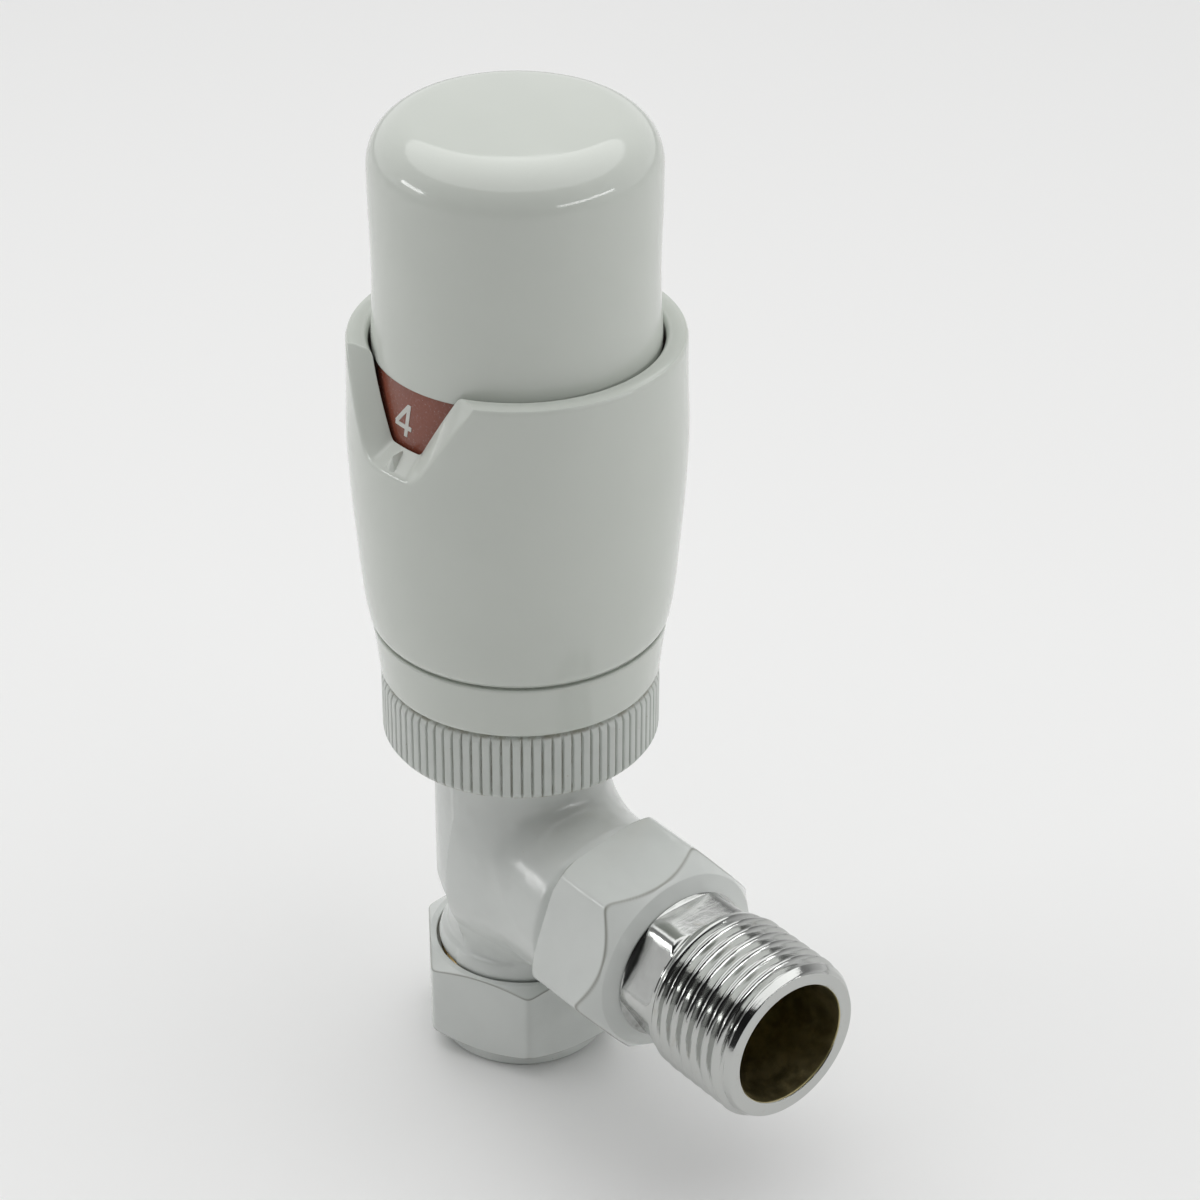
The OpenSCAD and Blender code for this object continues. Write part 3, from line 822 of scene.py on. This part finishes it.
lower = collar(
    [(thread_r, body_low), (thread_r, 12.3), (9.5, 12.9), (7.9, 12.9), (7.9, 9), (9, body_low)],
    round_z, thread_r - thread_play, pitch, thread_depth,
)
side = collar(
    [(thread_r, 18.7), (thread_r, boss_end), (7.05, boss_end), (7.05, 18.1), (9.6, 18.1)],
    round_x, thread_r - thread_play, pitch, thread_depth,
)
upper = collar(
    [(m30_r, knurl_low + 1.6), (m30_r, body_top), (9.05, body_top), (9.05, knurl_low + 1.2),
     (13.6, knurl_low + 1.2)],
    round_z, m30_r - thread_play, m30_pitch, m30_depth,
)


def body_faces(centres, skin_number):
    """Paint is material 0, and the bare brass of the collars 1."""
    bare_side = (skin_number == 2) & (centres[:, 0] > collar_start)
    return (np.isin(skin_number, (1, 3)) | bare_side).astype(int).tolist()


make(
    "valve_body_painted", [cast, lower, side, upper], "valve", ["valve_body"],
    [finish["white_paint"], finish["brass"]], faces_of=body_faces,
)

# ---- Thermostatic head -----------------------------------------------------------------------

rib_count = 86
groove_depth = 0.5
groove_half = 0.17  # half a groove's width, as a share of a rib's pitch
rib_crown = 0.05
ribbed_from_r = 15.9  # the nut's inner faces, nearer the axis, stay round
lip = knurl_top - 1.2
across_rib = np.array([0, 0.07, 0.13, 0.17, 0.22, 0.36, 0.5, 0.64, 0.78, 0.83, 0.87, 0.93])
rib_angles = ((np.arange(rib_count)[:, None] + across_rib) / rib_count).reshape(-1) * TURN


def rib_shape(radius, angle, _):
    from_groove = np.abs((angle / TURN * rib_count + 0.5) % 1 - 0.5)
    cut = groove_depth * np.clip(1 - from_groove / groove_half, 0, 1)
    crown = rib_crown * (1 - 4 * (0.5 - from_groove) ** 2) * (from_groove > groove_half)
    ribbed = soft_min(radius, knurl_r - cut - rib_crown + crown, 0.12)
    return np.where(radius > ribbed_from_r, ribbed, radius)


knurl_section = [
    (15.6, knurl_low), (15.95, knurl_low, 0.15), (16.5, knurl_low + 0.25, 0.2),
    (knurl_r, knurl_low + 1.0, 0.5), (knurl_r, knurl_top - 1.1, 0.9),
    (16.72, knurl_top - 0.4, 0.6), (16.2, knurl_top, 0.2), (13.55, knurl_top), (13.55, lip),
    (15, lip), (15, knurl_low + 0.9), (15.6, knurl_low + 0.2),
]
make(
    "knurled_nut_ribbed",
    [lathe(spaced(rounded(knurl_section), 0.25), shape=rib_shape, angles=rib_angles)],
    "head_nut", ["knurled_nut"], [finish["knurl_plastic"]],
)

seat = base_low
base_section = [
    (11.6, seat), (13.5, seat), (13.5, seat + 0.64), (12.9, seat + 0.64), (12.9, seat + 1.44),
    (13.5, seat + 1.44), (13.5, seat + 2.89), (16.35, seat + 2.89, 0.3), (16.85, seat + 3.1, 0.3),
    (17.05, seat + 3.6, 0.4), (17.4, seat + 6.74, 2), (17.8, seat + 10.04, 0.25),
    (16.9, seat + 10.04), (16.9, seat + 14.34, 0.4), (15.5, seat + 14.34), (15.5, seat + 5.34),
    (14.4, seat + 5.34), (14.4, seat + 30.34), (12.6, seat + 30.34), (12.6, seat + 5.34),
    (11.6, seat + 4.34),
]
make(
    "head_base_moulded", [lathe(rounded(base_section), columns=224)], "head",
    ["head_base"], [finish["white_plastic"]],
)

# Sleeve: one section to each angle, its top edge following the rim and the bevelled window
window_angle = math.radians(-86)
hole_r = 17.12
foot_hole_r = 16.95
rim_drop = 0.5  # from the top of the rim to its outer edge
lip_edge = 0.18  # height of the rounded edge of the hole
sleeve_line = [
    (sleeve_low, 17.72), (sleeve_low + 0.5, 18.02), (sleeve_low + 1.8, 18.33),
    (sleeve_low + 3.8, 18.64), (sleeve_low + 7.8, 19.02), (sleeve_low + 11.8, 19.34),
    (sleeve_low + 15.8, 19.65), (sleeve_low + 19.8, 19.88), (sleeve_low + 26, sleeve_r - 0.01),
    (sleeve_top - 7.8, 19.9), (sleeve_top - 3.8, 19.79), (sleeve_top - rim_drop, 19.74),
]
rim_line = [
    (hole_r, -0.5), (hole_r + 0.3, -0.12), (17.9, -0.01), (19.3, -0.01), (19.58, -0.12),
    (19.74, -rim_drop),
]
# The window's bevel, at its outer edge and at its inner one, the lip
window_r, window_foot, window_half, window_rise, window_ease = (
    19.9, sleeve_top - 11.3, 4.1, 1.60, 2.2
)
lip_foot, lip_half, lip_rise, lip_ease = sleeve_top - 9.0, 2.45, 1.75, 0.7
window_reach = 1.2  # radians to each side, past which both edges are above the rim


def sleeve_wall(height):
    return curve(height, sleeve_line)


def bent(a, corner, b, shares):
    """Points of a rounded edge from a to b, one row to each share of the way."""
    return [
        ((1 - k) ** 2 * a + 2 * k * (1 - k) * corner + k * k * b)[None] for k in shares
    ]


def edge_line(foot, half, rise, radius, angle, ease):
    """Height of the window's edge at an angle: a flat foot, then sides that rise outwards."""
    across = radius * np.abs(np.sin(angle))
    side = foot + rise * (across - half)
    return soft_max(foot + 0 * across, side, ease)


def sleeve_skin(columns=1080, wall_rows=70, top_rows=40, inner_rows=12):
    """Skin of the sleeve, as rows of (radius, height) at each angle."""
    angle = np.arange(columns) * TURN / columns
    turn = (angle - window_angle + math.pi) % TURN - math.pi
    turn = np.clip(turn, -window_reach, window_reach)
    outer = edge_line(window_foot, window_half, window_rise, window_r, turn, window_ease)
    inner = edge_line(lip_foot, lip_half, lip_rise, hole_r, turn, lip_ease)
    rim_edge = sleeve_top - rim_drop
    shoulder = soft_min(outer, rim_edge + 0 * outer, 0.5)
    shoulder_r = sleeve_wall(shoulder)
    # Outer wall, from the seam to a little short of the edge
    ease = 0.16 + 0.34 * run_out(rim_edge - outer, 0, 3)
    t = np.linspace(0, 1, wall_rows)[:, None]
    heights = sleeve_low + (shoulder - ease - sleeve_low) * t
    wall = [np.stack([sleeve_wall(heights), heights], -1)]

    def top(radius):
        rim = sleeve_top + curve(radius, rim_line)
        bevel = outer + (shoulder_r - radius) / (shoulder_r - hole_r) * (inner - outer)
        return soft_min(rim, bevel, 0.25)

    s = np.linspace(0, 1, top_rows)[:, None]
    radii = shoulder_r - ease - (shoulder_r - ease - hole_r - 0.1) * s
    deck = np.stack([radii, top(radii)], -1)
    # Rounded edge between wall and bevel
    a, b = wall[0][-1], deck[0]
    corner = np.stack([shoulder_r + 0 * shoulder, top(shoulder_r - 0.01)], -1)
    wall += bent(a, corner, b, (0.25, 0.5, 0.75))
    wall.append(deck)
    # Rounded lip and inner wall
    lip_top = top(np.full_like(shoulder, hole_r))
    a = deck[-1]
    corner = np.stack([hole_r + 0 * lip_top, lip_top], -1)
    b = np.stack([hole_r + 0 * lip_top, lip_top - lip_edge], -1)
    wall += bent(a, corner, b, (0.33, 0.66, 1.0))
    t = np.linspace(0, 1, inner_rows)[1:, None]
    inner_low = sleeve_low + 6.8
    heights = lip_top - lip_edge + (inner_low - lip_top + lip_edge) * t
    wall.append(np.stack([hole_r + 0 * heights, heights], -1))
    # Foot, the same at each angle
    for radius, up in (
        (foot_hole_r, 4.4), (foot_hole_r, 2), (foot_hole_r, 0.1), (17.05, 0), (17.3, 0), (17.5, 0),
    ):
        wall.append(np.stack([radius + 0 * angle, sleeve_low + up + 0 * angle], -1)[None])
    section = np.concatenate(wall)
    return loft(round_z(section[..., 0], angle[None, :], section[..., 1]))


make(
    "outer_sleeve_moulded", [sleeve_skin()], "head", ["outer_sleeve"],
    [finish["white_plastic"]],
)

# Pointer under the window: a small ridge, widest at its foot
pointer_points = [
    (17.5, 0, lip_foot - 0.15), (19.1, 0, lip_foot - 0.3), (20.03, 0, window_foot - 0.6),
    (19.8, -1.5, window_foot - 0.95), (19.8, 1.5, window_foot - 0.95),
    (18.6, 0, window_foot - 1.4), (17.6, 0, window_foot),
]


def make_pointer():
    """The pointer, as the rounded hull of its points."""
    shape = bmesh.new()
    spin = Matrix.Rotation(window_angle, 3, "Z")
    for point in pointer_points:
        shape.verts.new(spin @ Vector(point) * MM)
    result = bmesh.ops.convex_hull(shape, input=shape.verts)
    spare = [v for v in result["geom_interior"] if isinstance(v, bmesh.types.BMVert)]
    bmesh.ops.delete(shape, geom=spare, context="VERTS")
    bmesh.ops.bevel(
        shape, geom=list(shape.edges), offset=0.1 * MM, segments=3, affect="EDGES", profile=0.6,
    )
    bmesh.ops.recalc_face_normals(shape, faces=shape.faces)
    mesh = bpy.data.meshes.new("sleeve_pointer")
    shape.to_mesh(mesh)
    shape.free()
    mesh.materials.append(finish["white_plastic"])
    mesh.polygons.foreach_set("use_smooth", [True] * len(mesh.polygons))
    thing = bpy.data.objects.new("sleeve_pointer", mesh)
    bpy.context.scene.collection.objects.link(thing)
    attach(thing, "head")


make_pointer()


def arc(centre, radius, first, last, steps):
    """Points of an arc, angles in degrees."""
    return [
        (centre[0] + radius * math.cos(a), centre[1] + radius * math.sin(a))
        for a in map(math.radians, np.linspace(first, last, steps))
    ]


# Dial cap: a low dome, a round edge, a wall with a slight waist, and the tube inside
cap_r = cap_foot_r - 0.1
edge, roof, crown = 5.6, 2.2, 0.5  # radius of the edge, thickness of the roof, drop of the dome
dome_end = math.radians(84.85)  # where the dome runs into the edge's arc
skirt_low, cap_low = 68.0, band_top + 0.02
skirt_r = 16.1
flat_r = cap_r - edge
tube_hole_r = 14.45
dome_r = flat_r + edge * math.cos(dome_end)
dome_drop = crown + edge * (1 - math.sin(dome_end))
outer_line = [(0.0, cap_top)] + [
    (r, cap_top - dome_drop * (r / dome_r) ** 2) for r in np.linspace(0.6, dome_r, 16)
]
outer_line += arc((flat_r, cap_top - crown - edge), edge, math.degrees(dome_end), 0, 36)[1:]
waist_line = [
    (cap_low + 1.7, cap_foot_r), (cap_low + 4.7, cap_foot_r - 0.16),
    (cap_low + 9.2, cap_foot_r - 0.3), (cap_low + 13.7, cap_foot_r - 0.24),
    (cap_low + 18.7, cap_r - 0.02), (cap_low + 22, cap_r),
]
outer_line += [
    (float(curve(np.array(z), waist_line)), z)
    for z in np.linspace(cap_top - crown - edge - 0.5, cap_low + 1.7, 22)
]
outer_line += [(cap_foot_r, cap_low + 0.35), (cap_foot_r - 0.03, cap_low + 0.1)]
outer_line += [
    (cap_foot_r - 0.12, cap_low), (skirt_r, cap_low), (skirt_r, skirt_low),
    (tube_hole_r, skirt_low),
]
inner_edge, inner_top = 5.0, cap_top - roof - crown
inner_line = [(tube_hole_r, inner_top - inner_edge)]
inner_line += arc(
    (tube_hole_r - inner_edge, inner_top - inner_edge), inner_edge, 0, 90, 16
)[1:]
inner_line += [(0.0, inner_top)]
make(
    "dial_cap_moulded",
    [lathe(np.array(outer_line + inner_line), columns=256, closed=False)],
    "dial", ["dial_cap"], [finish["white_plastic"]],
)

# ---- Floor, light and camera -----------------------------------------------------------------

# The camera's place and aim, as fitted to the photograph's outlines
azimuth, elevation, roll = (math.radians(a) for a in (50.59, 31.98, 0.26))
distance, shift_right, shift_up = 411.3, 9.67, 2.71
focal_length = 102.03
back_way = Vector((
    math.sin(azimuth) * math.cos(elevation), -math.cos(azimuth) * math.cos(elevation),
    math.sin(elevation),
))
level_right = Vector((math.cos(azimuth), math.sin(azimuth), 0))
level_up = back_way.cross(level_right)
right_way = level_right * math.cos(roll) + level_up * math.sin(roll)
up_way = level_up * math.cos(roll) - level_right * math.sin(roll)
target = Vector((0, 0, 60.0))
place = (target + right_way * shift_right + up_way * shift_up + back_way * distance) * MM

camera_data = bpy.data.cameras.new("photo_camera")
camera_data.lens = focal_length
camera_data.sensor_width = 36
camera_data.clip_start = 0.01
camera = bpy.data.objects.new("photo_camera", camera_data)
axes = Matrix((right_way, up_way, back_way)).transposed()
camera.matrix_world = Matrix.Translation(place) @ axes.to_4x4()
bpy.context.scene.collection.objects.link(camera)
bpy.context.scene.camera = camera

light_aim = Vector((0, 0, 0.06))


def softbox(name, spot, width, height, radiance, round_edge=False):
    """Flat light of one radiance, facing light_aim; all in metres."""
    data = bpy.data.lights.new(name, "AREA")
    data.shape = "ELLIPSE" if round_edge else "RECTANGLE"
    data.size, data.size_y = width, height
    area = width * height * (math.pi / 4 if round_edge else 1)
    data.energy = radiance * math.pi * area
    light = bpy.data.objects.new(name, data)
    light.location = spot
    light.rotation_euler = (spot - light_aim).to_track_quat("Z", "Y").to_euler()
    bpy.context.scene.collection.objects.link(light)


to_left = -level_right
to_camera = Vector((back_way.x, back_way.y, 0)).normalized()
above = Vector((0, 0, 1))
softbox("top_softbox", -to_camera * 0.10 + above * 0.85, 1.75, 1.6, 1.42, round_edge=True)
softbox("left_strip", to_left * 0.62 + to_camera * 0.08 + above * 0.25, 0.26, 0.06, 8.0)
softbox("right_strip", -to_left * 0.58 + to_camera * 0.38 + above * 0.27, 0.62, 0.05, 7.0)

# A room that is paler low down, but for its dark open side in front of the object
dark_way = (to_camera * 0.93 + above * 0.36).normalized()
world = bpy.data.worlds.new("studio")
bpy.context.scene.world = world
world.use_nodes = True
tree = world.node_tree
tree.nodes.clear()
way = tree.nodes.new("ShaderNodeTexCoord")
split = tree.nodes.new("ShaderNodeSeparateXYZ")
ramp = tree.nodes.new("ShaderNodeValToRGB")
facing = tree.nodes.new("ShaderNodeVectorMath")
facing.operation = "DOT_PRODUCT"
facing.inputs[1].default_value = dark_way
shade = tree.nodes.new("ShaderNodeMapRange")
shade.interpolation_type = "SMOOTHSTEP"
for key, value in (("From Min", 0.10), ("From Max", 0.72), ("To Min", 1.05), ("To Max", 0.05)):
    shade.inputs[key].default_value = value
sky = tree.nodes.new("ShaderNodeBackground")
out = tree.nodes.new("ShaderNodeOutputWorld")
tree.links.new(way.outputs["Generated"], split.inputs[0])
tree.links.new(way.outputs["Generated"], facing.inputs[0])
tree.links.new(facing.outputs["Value"], shade.inputs[0])
tree.links.new(shade.outputs[0], sky.inputs["Strength"])
tree.links.new(split.outputs[2], ramp.inputs[0])
tree.links.new(ramp.outputs[0], sky.inputs["Color"])
tree.links.new(sky.outputs[0], out.inputs["Surface"])
for stop, position, grey in zip(ramp.color_ramp.elements, (0.0, 0.55), (0.80, 0.26)):
    stop.position = position
    stop.color = (grey, grey, grey, 1)

floor_data = bpy.data.meshes.new("floor")
floor_half = 3.0  # metres
floor_data.from_pydata(
    [
        (x * floor_half, y * floor_half, pipe_nut_low * MM)
        for x, y in ((-1, -1), (1, -1), (1, 1), (-1, 1))
    ],
    [], [(0, 1, 2, 3)],
)
floor = bpy.data.objects.new("floor", floor_data)
bpy.context.scene.collection.objects.link(floor)
floor_paint = Paint("pale_floor")
floor_data.materials.append(
    floor_paint.finish(base_color=(0.88, 0.88, 0.875), roughness=0.75)
)
bpy.context.scene.view_settings.view_transform = "Standard"
